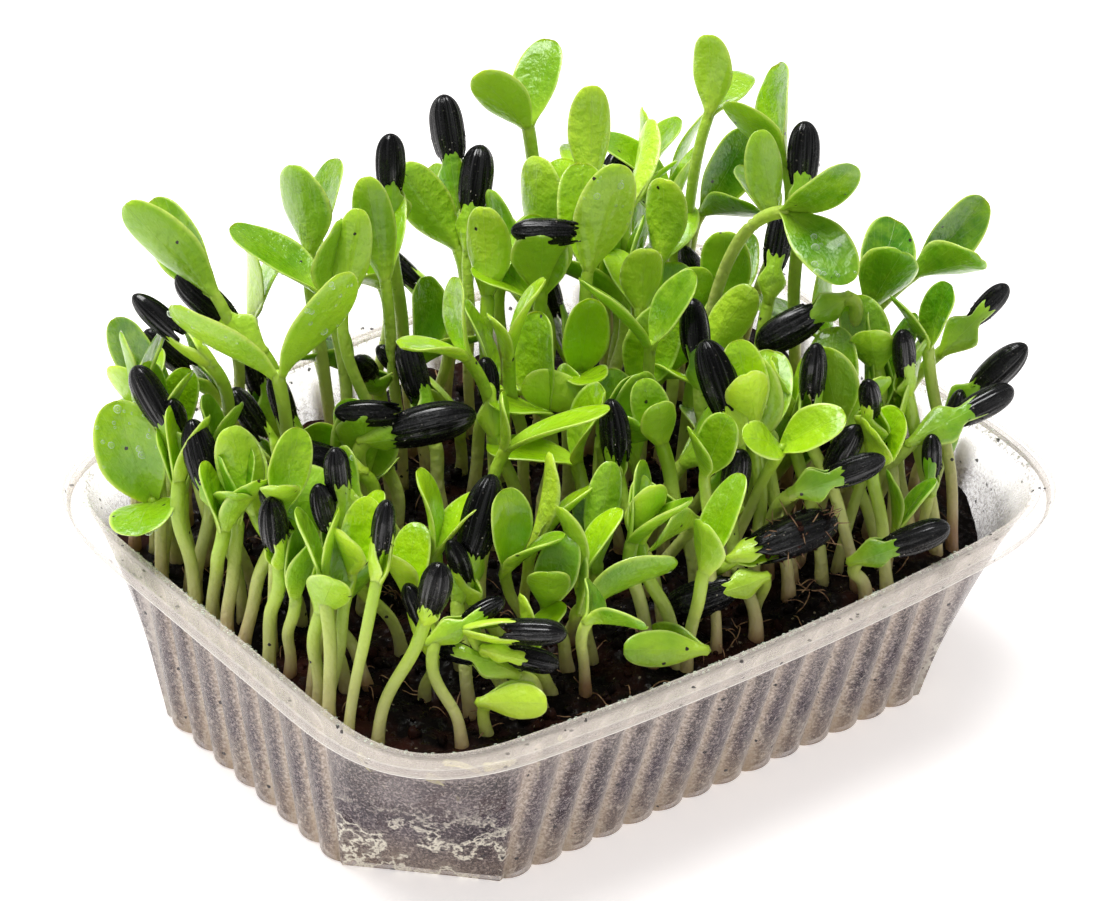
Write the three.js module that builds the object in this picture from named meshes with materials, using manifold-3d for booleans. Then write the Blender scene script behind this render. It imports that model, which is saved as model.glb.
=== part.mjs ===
// A ribbed clear tray of sunflower microgreens: the tray, its soil, the sprouts that grow in it and
// the seed hulls some of them still wear. Millimetres, +Z up, the tray's base on z = 0 and centred,
// the tray's long side along X.
import * as THREE from "three";
import { mergeVertices } from "three/addons/utils/BufferGeometryUtils.js";
import Module from "manifold-3d";

const wasm = await Module();
wasm.setup();

// ---- driving dimensions -------------------------------------------------------------------
const RIM_LENGTH = 179;
const RIM_WIDTH = 132;
const TRAY_HEIGHT = 45;
const RIM_LEDGE = 5; // width of the flat ledge outside the wall
const RIM_DROP = 3.4; // how far the lip turns down
const BASE_INSET = 12.2; // base edge, inwards of the rim's outer edge
const CORNER_CUT = 24; // straight cut across each corner of the base
const WALL = 0.8;
const RIB_DEPTH = 1.6;
const RIBS = [8, 14]; // upright ribs on a short side and on a long side
const RIB_STEPS = 3;
const CORNER_STEPS = 8;
const CORNER_POWER = 0.587; // makes the rim's corner round, with a radius near 20 mm
const SIDE_BULGE = 7; // the filled tray's long sides belly out at the rim
const GAP = 0.3; // clearance between pieces that touch
const SLIVER = 0.12; // detail smaller than this is smoothed away where two shapes were joined

const SOIL_TOP = 34;
const SOIL_INSET = 3.1;
const SOIL_SINK = 9; // the soil has shrunk away from one corner
const SINK_RADIUS = 34;
const SOIL_STRIDE = 4; // the soil needs fewer corners than the ribbed wall
const SOIL_SHRINK = 0.5; // how far it draws away from the wall for each mm it sinks

const STEM_RADIUS = 1.5;
const STEM_SIDES = 6;
const STEM_STEPS = 5;
const LEAF_THICKNESS = 1.7;
const LEAF_ARCH = 0.07; // how far a leaf bows, as a share of its length
const BALL_FACETS = [8, 4];
const HULL_WIDTH = 0.5; // shares of the hull's length
const HULL_THICKNESS = 0.4;

const TRAY_PLASTIC = { color: 0xe4e2dd, roughness: 0.35, metalness: 0, transparent: true, opacity: 0.55 };
const SOIL_EARTH = { color: 0x1c1310, roughness: 0.95, metalness: 0 };
const SPROUT_GREEN = { color: 0x7fb52b, roughness: 0.4, metalness: 0 };
const HULL_BLACK = { color: 0x17151a, roughness: 0.5, metalness: 0 };

const tray = new THREE.Group();
tray.name = "sunflower_microgreens_tray";

// ---- helpers ------------------------------------------------------------------------------

/** A closed solid from a three.js geometry. */
function solidFrom(geometry) {
  const bare = geometry.clone();
  bare.deleteAttribute("normal");
  bare.deleteAttribute("uv");
  const merged = mergeVertices(bare, 1e-4);
  const mesh = new wasm.Mesh({
    numProp: 3,
    vertProperties: new Float32Array(merged.attributes.position.array),
    triVerts: new Uint32Array(merged.index.array),
  });
  return new wasm.Manifold(mesh);
}

/** The biggest separate lump of a solid. */
function biggestLump(solid) {
  const lumps = solid.decompose();
  return lumps.reduce((best, lump) => (lump.volume() > best.volume() ? lump : best));
}

/** Adds a solid to the tray as one named mesh. */
function addPiece(name, solid, look) {
  const data = solid.getMesh();
  const geometry = new THREE.BufferGeometry();
  geometry.setAttribute("position", new THREE.BufferAttribute(new Float32Array(data.vertProperties), 3));
  geometry.setIndex(new THREE.BufferAttribute(new Uint32Array(data.triVerts), 1));
  geometry.computeVertexNormals();
  const mesh = new THREE.Mesh(geometry, new THREE.MeshStandardMaterial(look));
  mesh.name = name;
  tray.add(mesh);
}

function boxesMeet(a, b) {
  const p = a.boundingBox();
  const q = b.boundingBox();
  return [0, 1, 2].every((i) => p.min[i] < q.max[i] && q.min[i] < p.max[i]);
}

/** Takes every blocker that comes near out of a solid. */
function clearOf(solid, blockers) {
  return blockers.reduce((left, other) => (boxesMeet(left, other) ? left.subtract(other) : left), solid);
}

// ---- tray outline -------------------------------------------------------------------------
// The wall runs round as stations. A station knows its side, its place along the side, or its
// place round the corner after that side, and how far out its rib stands there.

function listStations() {
  const stations = [];
  for (let side = 0; side < 4; side += 1) {
    const count = RIBS[side % 2] * RIB_STEPS;
    for (let i = 0; i <= count; i += 1) {
      const rib = Math.sin((Math.PI * (i % RIB_STEPS)) / RIB_STEPS) ** 0.7;
      stations.push({ side, along: (2 * i) / count - 1, rib });
    }
    for (let i = 1; i < CORNER_STEPS; i += 1) {
      stations.push({ side, turn: i / CORNER_STEPS, rib: 0.6 });
    }
  }
  return stations;
}

const STATIONS = listStations();

/** Half sizes of the wall, at a rise of 0 at the base to 1 at the rim. */
function wallHalves(rise) {
  const wallInset = THREE.MathUtils.lerp(BASE_INSET, RIM_LEDGE, rise);
  return [RIM_LENGTH / 2 - wallInset, RIM_WIDTH / 2 - wallInset];
}

/** One point of the smooth outline, before ribs. */
function outlinePoint(station, rise) {
  const spans = [RIM_WIDTH / 2 - BASE_INSET - CORNER_CUT, RIM_LENGTH / 2 - BASE_INSET - CORNER_CUT];
  const halves = wallHalves(rise);
  const odd = station.side % 2;
  const out = halves[odd];
  const span = spans[odd];
  const point = new THREE.Vector2(out, span * station.along);
  if (station.turn !== undefined) {
    const nextOut = halves[1 - odd];
    const nextSpan = spans[1 - odd];
    const angle = (station.turn * Math.PI) / 2;
    const cut = new THREE.Vector2(out, span).lerp(new THREE.Vector2(nextSpan, nextOut), station.turn);
    const round = new THREE.Vector2(
      nextSpan + (out - nextSpan) * Math.cos(angle) ** CORNER_POWER,
      span + (nextOut - span) * Math.sin(angle) ** CORNER_POWER,
    );
    point.copy(cut.lerp(round, rise));
  }
  point.rotateAround(new THREE.Vector2(), (station.side * Math.PI) / 2);
  const belly = 1 - (point.x / (RIM_LENGTH / 2)) ** 2;
  point.y *= 1 + (SIDE_BULGE / (RIM_WIDTH / 2)) * rise * belly;
  return point;
}

/** A point of the wall, moved inwards square to the outline. */
function wallPoint(index, rise, inset, ribShare) {
  const total = STATIONS.length;
  const here = outlinePoint(STATIONS[index % total], rise);
  const before = outlinePoint(STATIONS[(index + total - 1) % total], rise);
  const after = outlinePoint(STATIONS[(index + 1) % total], rise);
  const along = after.sub(before).normalize();
  const depth = inset + RIB_DEPTH * (1 - STATIONS[index % total].rib) * ribShare;
  return new THREE.Vector2(here.x - along.y * depth, here.y + along.x * depth);
}

/** Turns a stack of rings into a closed solid laid on the tray's outline, at one station in each stride. */
function ringSolid(rings, stride) {
  const profile = rings.map((ring, i) => new THREE.Vector2(ring.centre ? 0 : 1, i));
  const geometry = new THREE.LatheGeometry(profile, STATIONS.length / stride);
  const position = geometry.attributes.position;
  for (let i = 0; i < position.count; i += 1) {
    const ring = rings[i % rings.length];
    const point = ringPoint(ring, Math.floor(i / rings.length) * stride);
    position.setXYZ(i, point.x, point.y, point.z);
  }
  const solid = solidFrom(geometry);
  return solid.volume() > 0 ? solid : solidFrom(flipped(geometry));
}

/** Where a ring crosses a station. A sunken ring drops to the soil's top and draws in as it drops. */
function ringPoint(ring, station) {
  if (ring.centre) {
    return new THREE.Vector3(0, 0, ring.z);
  }
  const flat = wallPoint(station, ring.z / TRAY_HEIGHT, ring.inset, ring.ribs);
  if (!ring.sunken) {
    return new THREE.Vector3(flat.x, flat.y, ring.z);
  }
  const z = soilHeight(flat.x * ring.sunken, flat.y * ring.sunken);
  const pulled = wallPoint(station, z / TRAY_HEIGHT, ring.inset + SOIL_SHRINK * (ring.z - z), ring.ribs);
  return new THREE.Vector3(pulled.x * ring.sunken, pulled.y * ring.sunken, z);
}

/** The same geometry with its faces turned over. */
function flipped(geometry) {
  const index = geometry.index.array;
  for (let i = 0; i < index.length; i += 3) {
    [index[i], index[i + 1]] = [index[i + 1], index[i]];
  }
  return geometry;
}

// ---- tray ---------------------------------------------------------------------------------
// One thin shell: ribbed sloping wall, flat base, and a ledge round the rim with a lip turned down.

const TOP = TRAY_HEIGHT;
addPiece(
  "tray",
  ringSolid([
    { centre: true, z: 0 },
    { z: 0, inset: 0.8, ribs: 1 },
    { z: 0.8, inset: 0, ribs: 1 },
    { z: TOP - 7, inset: 0, ribs: 1 },
    { z: TOP - RIM_DROP, inset: 0, ribs: 0 },
    { z: TOP - 1.3, inset: 0.6 - RIM_LEDGE, ribs: 0 },
    { z: TOP - RIM_DROP, inset: 0.6 - RIM_LEDGE, ribs: 0 },
    { z: TOP - RIM_DROP, inset: -RIM_LEDGE, ribs: 0 },
    { z: TOP - 0.5, inset: -RIM_LEDGE, ribs: 0 },
    { z: TOP, inset: 0.6 - RIM_LEDGE, ribs: 0 },
    { z: TOP, inset: 0.1, ribs: 0 },
    { z: TOP - 0.8, inset: WALL, ribs: 0 },
    { z: TOP - 7, inset: WALL, ribs: 1 },
    { z: 1.8, inset: WALL, ribs: 1 },
    { z: WALL, inset: 2 * WALL, ribs: 1 },
    { centre: true, z: WALL },
  ], 1),
  TRAY_PLASTIC,
);

// ---- soil ---------------------------------------------------------------------------------
// A block of damp peat that fills the tray to about a centimetre under the rim, and has sunk and
// pulled away at the +X, -Y corner.

/** Height of the soil's top. */
function soilHeight(x, y) {
  const far = Math.hypot(x - RIM_LENGTH / 2 + 8, y + RIM_WIDTH / 2 - 6);
  return SOIL_TOP - SOIL_SINK * THREE.MathUtils.smoothstep(SINK_RADIUS - far, 0, SINK_RADIUS);
}

const topRing = (sunken) => ({ z: SOIL_TOP, inset: SOIL_INSET, ribs: 0, sunken });
addPiece(
  "soil",
  ringSolid([
    { centre: true, z: WALL + GAP },
    { z: WALL + GAP, inset: SOIL_INSET + 0.6, ribs: 0 },
    topRing(1),
    topRing(0.82),
    topRing(0.64),
    { centre: true, z: SOIL_TOP },
  ], SOIL_STRIDE),
  SOIL_EARTH,
);

// ---- sprouts ------------------------------------------------------------------------------
// Each row is one plant. root: where it leaves the soil. crown: where its stem ends and its two
// seed leaves begin. Each leaf: heading round from +X, climb from level (degrees), length.
// width: of both leaves. hull: length of the seed hull it still wears, 0 for none.

const PLANTS = [
  // root x, y   crown x, y, z   first leaf      second leaf     width hull arch
  [32, 50, 30, 53, 94, 35, 40, 19, 155, 50, 17, 10, 0],
  [54, 30, 57, 26, 102, 80, 80, 16, 20, 5, 14, 9, 0],
  [62, 20, 64, 11, 95, 55, 35, 21, 150, 50, 18, 12, 0],
  [36, 2, 48, -10, 98, -55, 48, 19, -90, -20, 21, 12, 0],
  [50, -12, 65, -18, 74, 35, 30, 20, -80, 65, 17, 12, 0],
  [62, -8, 76, -20, 79, -5, 40, 20, -75, 30, 17, 11, 0],
  [68, -20, 78, -28, 64, 10, 25, 17, -40, 50, 17, 9, 10],
  [68, -32, 73, -36, 54, -10, 35, 20, -40, 50, 19, 9, 14],
  [50, -38, 58, -43, 57, -20, 25, 22, 0, 5, 20, 9, 13],
  [58, -45, 58, -48, 49, 175, 80, 10, 45, 60, 10, 8, 9],
  [50, -30, 53, -34, 57, 20, 50, 25, 60, 60, 25, 10, 0],
  [38, -34, 42, -37, 65, 150, 75, 18, 60, 40, 19, 12, 0],
  [-50, 46, -57, 42, 90, 130, 45, 25, 90, 25, 24, 11, 0],
  [-60, 38, -65, 33, 82, 135, 30, 17, 115, 45, 18, 9, 13],
  [-52, 22, -58, 18, 84, 140, 35, 21, -30, 60, 22, 12, 0],
  [-66, 30, -74, 27, 66, 125, 50, 17, 90, 50, 19, 10, 14],
  [-66, 14, -75, 16, 62, 110, 70, 15, 75, 50, 15, 9, 14],
  [-62, 4, -70, 9, 61, 105, 70, 18, 75, 35, 18, 10, 0],
  [-70, 36, -78, 33, 53, 105, 65, 22, -135, 5, 15, 14, 0],
  [-42, -12, -55, -3, 65, 165, 5, 17, 80, 20, 10, 14, 0],
  [-58, -4, -62, 4, 58, -140, -40, 17, -160, -70, 17, 8, 15],
  [-68, -20, -71, -18, 51, 90, 75, 17, 50, 40, 17, 8, 0],
  [-64, -22, -68, -17, 53, -5, 65, 20, -50, 50, 19, 9, 10],
  [-60, -48, -59, -38, 53, -35, 30, 14, -5, 20, 14, 7, 9],
  [-52, -40, -49, -31, 54, 10, 60, 24, 40, 50, 24, 10, 16],
  [-46, -46, -54, -44, 56, -45, 20, 17, -60, 0, 15, 9, 13],
  [-22, -32, -27, -43, 51, -30, 25, 20, 70, 40, 16, 13, 0],
  [-30, -48, -33, -54, 57, -65, 5, 11, 60, 15, 8, 9, 0],
  [4, -40, 8, -48, 51, -20, 25, 20, -10, -5, 20, 9, 18],
  [14, -46, 9, -52, 47, 165, -10, 18, 135, -25, 18, 9, 14],
  [14, -2, 17, -6, 76, 145, 45, 21, -30, 60, 18, 11, 0],
  [14, 14, 18, 16, 82, 5, 70, 23, 60, 45, 22, 13, 0],
  [-14, 4, -21, 6, 81, 70, 75, 16, 170, 20, 15, 12, 0],
  [-32, -16, -23, -12, 70, -40, 25, 22, 90, 75, 11, 9, 0],
  [-24, -20, -27, -27, 57, 35, 70, 18, -10, 35, 16, 9, 0],
  [-34, 28, -36, 33, 87, 120, 25, 23, 0, 75, 16, 12, 0],
  [-28, 40, -31, 45, 89, 90, 70, 18, 35, 40, 20, 13, 0],
  [-8, 40, -10, 46, 85, 60, 50, 20, -100, 85, 19, 10, 12],
  [-38, 0, -45, 4, 71, -44, 14, 20, -16, 10, 20, 9, 17],
  [20, 38, 20, 35, 76, 60, 75, 20, 30, 45, 20, 13, 0],
].map(([rx, ry, cx, cy, cz, ...rest]) => ({
  root: new THREE.Vector3(rx, ry, soilHeight(rx, ry) + GAP),
  crown: new THREE.Vector3(cx, cy, cz),
  leaves: [rest.slice(0, 3), rest.slice(3, 6)],
  width: rest[6],
  hull: rest[7],
}));

/** Unit vector from a heading round +Z and a climb, in degrees. */
function heading(turn, climb) {
  const a = THREE.MathUtils.degToRad(turn);
  const c = THREE.MathUtils.degToRad(climb);
  return new THREE.Vector3(Math.cos(a) * Math.cos(c), Math.sin(a) * Math.cos(c), Math.sin(c));
}

/** The way a plant's head points: between its two leaves. */
function headAxis(plant) {
  const [first, second] = plant.leaves.map(([turn, climb]) => heading(turn, climb));
  return first.add(second).normalize();
}

/** The bent stem, swept along its own curve. */
function stemSolid(plant, extra) {
  const rise = plant.crown.distanceTo(plant.root);
  const lift = new THREE.Vector3(0, 0, rise * 0.45);
  const path = new THREE.CubicBezierCurve3(
    plant.root,
    plant.root.clone().add(lift),
    plant.crown.clone().addScaledVector(headAxis(plant), -rise * 0.25),
    plant.crown,
  );
  const ring = new THREE.Shape();
  ring.absarc(0, 0, STEM_RADIUS + extra, 0, 2 * Math.PI, false);
  const geometry = new THREE.ExtrudeGeometry(ring, {
    steps: STEM_STEPS,
    curveSegments: STEM_SIDES / 2, // a full circle gets two sides for each
    bevelEnabled: false,
    extrudePath: path,
  });
  return solidFrom(geometry);
}

/** One fleshy seed leaf: a flattened ball, narrow where it leaves the stem, bowed along its length. */
function leafSolid(plant, which, extra) {
  const [turn, climb, length] = plant.leaves[which];
  const other = heading(...plant.leaves[1 - which]);
  const along = heading(turn, climb);
  const across = new THREE.Vector3().crossVectors(along, other).normalize();
  const inner = new THREE.Vector3().crossVectors(across, along);
  const geometry = new THREE.SphereGeometry(1, ...BALL_FACETS);
  const position = geometry.attributes.position;
  for (let i = 0; i < position.count; i += 1) {
    const t = (1 + position.getY(i)) / 2;
    const spread = 0.45 + 0.55 * THREE.MathUtils.smoothstep(t, 0, 0.55);
    const x = position.getX(i) * spread * (plant.width / 2 + extra);
    const z = position.getZ(i) * (LEAF_THICKNESS / 2 + extra);
    const y = (t - 0.08) * length * 1.08 + position.getY(i) * extra;
    const bow = LEAF_ARCH * length * Math.sin(Math.PI * t);
    const point = plant.crown.clone().addScaledVector(along, y);
    point.addScaledVector(across, x).addScaledVector(inner, z + bow);
    position.setXYZ(i, point.x, point.y, point.z);
  }
  return solidFrom(geometry);
}

/** The seed hull over the leaf tips: a flattened drop, blunt at the far end. */
function hullSolid(plant, extra) {
  const axis = headAxis(plant);
  const [first, second] = plant.leaves.map(([turn, climb]) => heading(turn, climb));
  const across = new THREE.Vector3().crossVectors(first, second).normalize();
  const flat = new THREE.Vector3().crossVectors(across, axis);
  const reach = Math.max(plant.leaves[0][2], plant.leaves[1][2]) - plant.hull * 0.42;
  const centre = plant.crown.clone().addScaledVector(axis, reach);
  const geometry = new THREE.SphereGeometry(1, ...BALL_FACETS);
  const position = geometry.attributes.position;
  for (let i = 0; i < position.count; i += 1) {
    const y = position.getY(i);
    const spread = 1 + 0.18 * y;
    const x = position.getX(i) * spread * ((plant.hull * HULL_WIDTH) / 2 + extra);
    const z = position.getZ(i) * spread * ((plant.hull * HULL_THICKNESS) / 2 + extra);
    const point = centre.clone().addScaledVector(axis, y * (plant.hull / 2 + extra));
    point.addScaledVector(across, x).addScaledVector(flat, z);
    position.setXYZ(i, point.x, point.y, point.z);
  }
  return solidFrom(geometry);
}

/** Both leaves of a plant as one solid. */
function leavesSolid(plant, extra) {
  return leafSolid(plant, 0, extra).add(leafSolid(plant, 1, extra));
}

const wideStems = PLANTS.map((plant) => stemSolid(plant, GAP));
const hulls = [];
const wideHulls = [];
PLANTS.forEach((plant, i) => {
  if (plant.hull) {
    const otherStems = wideStems.filter((_, j) => j !== i);
    hulls.push({ number: i + 1, solid: biggestLump(clearOf(hullSolid(plant, 0), [...otherStems, ...wideHulls])) });
    wideHulls.push(hullSolid(plant, GAP));
  }
});

const wideLeaves = [];
PLANTS.forEach((plant, i) => {
  const otherStems = wideStems.filter((_, j) => j !== i);
  const leaves = clearOf(leavesSolid(plant, 0), [...otherStems, ...wideHulls, ...wideLeaves]);
  const name = `sprout_${String(i + 1).padStart(2, "0")}`;
  const sprout = biggestLump(clearOf(stemSolid(plant, 0), wideHulls).add(leaves));
  addPiece(name, biggestLump(sprout.simplify(SLIVER)), SPROUT_GREEN);
  wideLeaves.push(leavesSolid(plant, GAP));
});
hulls.forEach(({ number, solid }) => {
  addPiece(`hull_${String(number).padStart(2, "0")}`, solid.simplify(SLIVER), HULL_BLACK);
});

export default tray;
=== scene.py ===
import math

import bpy
import numpy as np
from mathutils import Matrix, Vector


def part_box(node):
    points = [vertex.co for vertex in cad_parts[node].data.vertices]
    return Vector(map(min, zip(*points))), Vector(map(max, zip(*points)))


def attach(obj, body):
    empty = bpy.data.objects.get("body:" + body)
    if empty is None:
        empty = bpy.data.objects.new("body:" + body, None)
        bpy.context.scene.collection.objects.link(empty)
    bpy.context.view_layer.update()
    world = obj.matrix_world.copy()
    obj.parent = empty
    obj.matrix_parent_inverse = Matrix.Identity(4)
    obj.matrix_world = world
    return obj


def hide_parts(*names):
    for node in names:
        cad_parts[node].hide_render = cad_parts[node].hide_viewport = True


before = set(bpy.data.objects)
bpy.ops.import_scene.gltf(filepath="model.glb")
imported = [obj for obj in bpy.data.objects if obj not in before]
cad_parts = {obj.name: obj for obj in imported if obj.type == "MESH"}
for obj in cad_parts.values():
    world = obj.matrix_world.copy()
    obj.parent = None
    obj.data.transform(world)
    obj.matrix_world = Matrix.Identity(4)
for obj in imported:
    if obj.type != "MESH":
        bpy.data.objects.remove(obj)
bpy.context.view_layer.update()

# ---- Tray ------------------------------------------------------------------------------------
# A shallow food tray drawn from one sheet of clear polypropylene: a flat base with cut corners,
# ribbed walls that lean out, smooth rounded corners, and a ledge with a lip turned down. It is
# frosted by wear and by the damp behind it, and its long sides belly out under the soil.

MM = 0.001
tray_low, tray_high = (np.array(corner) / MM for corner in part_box("tray"))
TALL = tray_high[2]
LENGTH = 179.0
WIDTH = 132.0
LEDGE = 5.0
BASE_INSET = 12.2
CORNER_CUT = 24.0
CORNER_POWER = 0.587
RIB_DEPTH = 1.6
RIBS = (8, 14)  # on a short side, on a long side
BULGE = (tray_high[1] - tray_low[1] - WIDTH) / 2 + 0.8
WALL = 0.8


def run_round(rib_steps, corner_steps):
    """Stations round the tray as four arrays: the side they are on, the place along it from -1 to 1,
    the place round the corner after it from 0 to 1, and how far out the rib stands. A rib's section
    is the sine of half a turn, to the power 0.7, so its crest is broad and its valley is a crease. A
    corner stands a seventh short of a crest, and swells to it at both ends as a cube."""
    runs = []
    for side in range(4):
        step = np.arange(RIBS[side % 2] * rib_steps + 1)
        rib = np.abs(np.sin(np.pi * step / rib_steps)) ** 0.7
        runs.append([step * 0 + side, 2 * step / step[-1] - 1, step * 0.0, rib])
        turn = np.arange(1, corner_steps) / corner_steps
        runs.append([turn * 0 + side, turn * 0, turn, 0.86 + 0.14 * np.abs(2 * turn - 1) ** 3])
    return [np.concatenate(column) for column in zip(*runs)]


def outline(stations, rise):
    """The wall's smooth plan at a rise from 0, the base, to 1, the rim. A side is straight. A corner
    runs from a straight cut at the base to a power curve of cosine and sine at the rim. Then y grows
    by the bulge, times the rise, times one minus the square of the place along the length."""
    side, along, turn, _ = stations
    odd = side.astype(int) % 2
    inset = BASE_INSET + (LEDGE - BASE_INSET) * rise
    halves = np.stack([LENGTH / 2 - inset, WIDTH / 2 - inset])
    spans = np.array([WIDTH, LENGTH]) / 2 - BASE_INSET - CORNER_CUT
    out, next_out = np.where(odd, halves[1], halves[0]), np.where(odd, halves[0], halves[1])
    span, next_span = spans[odd], spans[1 - odd]
    angle = turn * np.pi / 2
    cut_x, cut_y = out + (next_span - out) * turn, span + (next_out - span) * turn
    round_x = next_span + (out - next_span) * np.cos(angle) ** CORNER_POWER
    round_y = span + (next_out - span) * np.sin(angle) ** CORNER_POWER
    x = np.where(turn > 0, cut_x + (round_x - cut_x) * rise, out)
    y = np.where(turn > 0, cut_y + (round_y - cut_y) * rise, span * along)
    quarter = side * np.pi / 2
    plan_x, plan_y = x * np.cos(quarter) - y * np.sin(quarter), x * np.sin(quarter) + y * np.cos(quarter)
    return plan_x, plan_y * (1 + BULGE / (WIDTH / 2) * rise * (1 - (2 * plan_x / LENGTH) ** 2))


def on_wall(stations, height, inset, ribs):
    """Points of the wall: the plan at each height, moved inwards square to itself by the inset and by
    the rib's depth times how far the rib falls short of its crest."""
    x, y = outline(stations, height / TALL)
    along_x, along_y = np.roll(x, -1, -1) - np.roll(x, 1, -1), np.roll(y, -1, -1) - np.roll(y, 1, -1)
    size = np.hypot(along_x, along_y)
    depth = inset + RIB_DEPTH * (1 - stations[3]) * ribs
    return np.stack([x - along_y / size * depth, y + along_x / size * depth, height + 0 * x], -1)


def rounded(keys, times):
    """A profile with its corners cut: each time, every stretch keeps the points a quarter and three
    quarters along it, and the two ends stay."""
    keys = np.array(keys, float)
    for _ in range(times):
        a, b = keys[:-1], keys[1:]
        cut = np.stack([a * 0.75 + b * 0.25, a * 0.25 + b * 0.75], 1).reshape(-1, keys.shape[1])
        keys = np.concatenate([keys[:1], cut, keys[-1:]])
    return keys


def wrap(points, **layers):
    """Skin over a grid of points: rows run along it, columns go round it, and the first and last rows
    each close to one point at their mean. Each layer is a grid of one number for each point."""
    rows, columns = points.shape[:2]
    shut = lambda grid: np.concatenate([
        grid[:1].mean(1), grid[1:-1].reshape(-1, *grid.shape[2:]), grid[-1:].mean(1)])
    index = 1 + np.arange((rows - 2) * columns).reshape(rows - 2, columns)
    after = np.roll(index, -1, 1)
    first, last = np.zeros(columns, int), np.full(columns, (rows - 2) * columns + 1)
    return {
        "points": shut(points),
        "quads": np.stack([index[:-1], after[:-1], after[1:], index[1:]], -1).reshape(-1, 4),
        "triangles": np.concatenate([
            np.stack([first, after[0], index[0]], -1), np.stack([last, index[-1], after[-1]], -1)]),
        "layers": {name: shut(np.broadcast_to(grid, points.shape[:2])) for name, grid in layers.items()},
    }


def gather(skins):
    """Several skins as one: their points follow each other, and each one's corners count on from the
    points before it."""
    starts = np.cumsum([0] + [len(skin["points"]) for skin in skins])
    stack = lambda key: np.concatenate([skin[key] + start for skin, start in zip(skins, starts)])
    layers = [skin["layers"] for skin in skins]
    return {
        "points": np.concatenate([skin["points"] for skin in skins]),
        "quads": stack("quads"),
        "triangles": stack("triangles"),
        "layers": {name: np.concatenate([one[name] for one in layers]) for name in layers[0]},
    }


def place(name, skin, material, slot_name, *nodes):
    """Makes an object of a skin given in millimetres, and joins it to the frame."""
    mesh = bpy.data.meshes.new(name)
    quads, triangles = skin["quads"], skin["triangles"]
    mesh.vertices.add(len(skin["points"]))
    mesh.vertices.foreach_set("co", (skin["points"] * MM).ravel())
    mesh.loops.add(quads.size + triangles.size)
    mesh.loops.foreach_set("vertex_index", np.concatenate([quads.ravel(), triangles.ravel()]))
    mesh.polygons.add(len(quads) + len(triangles))
    starts = np.concatenate([4 * np.arange(len(quads)), quads.size + 3 * np.arange(len(triangles))])
    mesh.polygons.foreach_set("loop_start", starts)
    mesh.polygons.foreach_set("use_smooth", np.ones(len(starts), bool))
    for layer, values in skin["layers"].items():
        mesh.attributes.new(layer, "FLOAT", "POINT").data.foreach_set("value", values.astype(np.float32))
    mesh.update(calc_edges=True)
    mesh.materials.append(material)
    piece = bpy.data.objects.new(name, mesh)
    bpy.context.collection.objects.link(piece)
    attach(piece, "root")
    if nodes:
        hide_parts(*nodes)
    return piece


def node(tree, kind, inputs=None, **settings):
    """Adds a node. settings are its own options; inputs gives each input a value or another's output."""
    made = tree.nodes.new(kind)
    for key, value in settings.items():
        setattr(made, key, value)
    for key, value in (inputs or {}).items():
        if isinstance(value, bpy.types.NodeSocket):
            tree.links.new(value, made.inputs[key])
        else:
            made.inputs[key].default_value = value
    return made


def ramp(tree, factor, *stops):
    """A colour ramp: each stop is a place from 0 to 1 and a colour, or one number for a grey."""
    made = node(tree, "ShaderNodeValToRGB", {"Fac": factor})
    elements = made.color_ramp.elements
    while len(elements) < len(stops):
        elements.new(1.0)
    for element, (position, colour) in zip(elements, stops):
        element.position = position
        element.color = (*colour, 1.0) if isinstance(colour, tuple) else (colour, colour, colour, 1.0)
    return made.outputs["Color"]


def mixed(tree, factor, a, b):
    """Two colours mixed by a factor."""
    colour = lambda value: (*value, 1.0) if isinstance(value, tuple) else value
    return node(tree, "ShaderNodeMix", {0: factor, 6: colour(a), 7: colour(b)}, data_type="RGBA").outputs[2]


def layered(tree, colour, *coats):
    """A colour with others laid over it in turn. A coat is its mask and its colour."""
    for mask, over in coats:
        colour = mixed(tree, mask, colour, over)
    return colour


def sums(tree, how, a, b=0.0, clamp=False):
    """One number worked out from one or two others, by the named operation."""
    return node(tree, "ShaderNodeMath", {0: a, 1: b}, operation=how, use_clamp=clamp).outputs[0]


def times(tree, a, b):
    """Two numbers multiplied."""
    return sums(tree, "MULTIPLY", a, b)


def plus(tree, total, *terms):
    """A number plus others, each given with its weight."""
    for value, weight in terms:
        total = sums(tree, "ADD", total, times(tree, value, weight))
    return total


def layer(tree, name):
    """The piece's own layer of numbers."""
    return node(tree, "ShaderNodeAttribute", attribute_name=name).outputs["Fac"]


def noise(tree, vector, scale, detail=2.0, rough=0.5, stretch=None):
    """Noise in the piece's own space, stretched along an axis where stretch is given."""
    if stretch:
        vector = node(tree, "ShaderNodeMapping", {"Vector": vector, "Scale": stretch}).outputs["Vector"]
    inputs = {"Vector": vector, "Scale": scale, "Detail": detail, "Roughness": rough}
    return node(tree, "ShaderNodeTexNoise", inputs).outputs["Fac"]


def start_material(name, **values):
    """A new material: its tree, its shader with plain values set, and its object coordinates."""
    material = bpy.data.materials.new(name)
    material.use_nodes = True
    tree = material.node_tree
    shader = tree.nodes["Principled BSDF"]
    for key, value in values.items():
        shader.inputs[key.replace("_", " ")].default_value = value
    return material, tree, shader, node(tree, "ShaderNodeTexCoord").outputs["Object"]


def feed(tree, shader, bump=None, strength=0.3, distance=0.0002, **sockets):
    """Joins colours and numbers to the shader, and a height through a bump."""
    for key, value in sockets.items():
        tree.links.new(value, shader.inputs[key.replace("_", " ")])
    if bump is not None:
        made = node(tree, "ShaderNodeBump", {"Height": bump, "Strength": strength, "Distance": distance})
        tree.links.new(made.outputs["Normal"], shader.inputs["Normal"])


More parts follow.
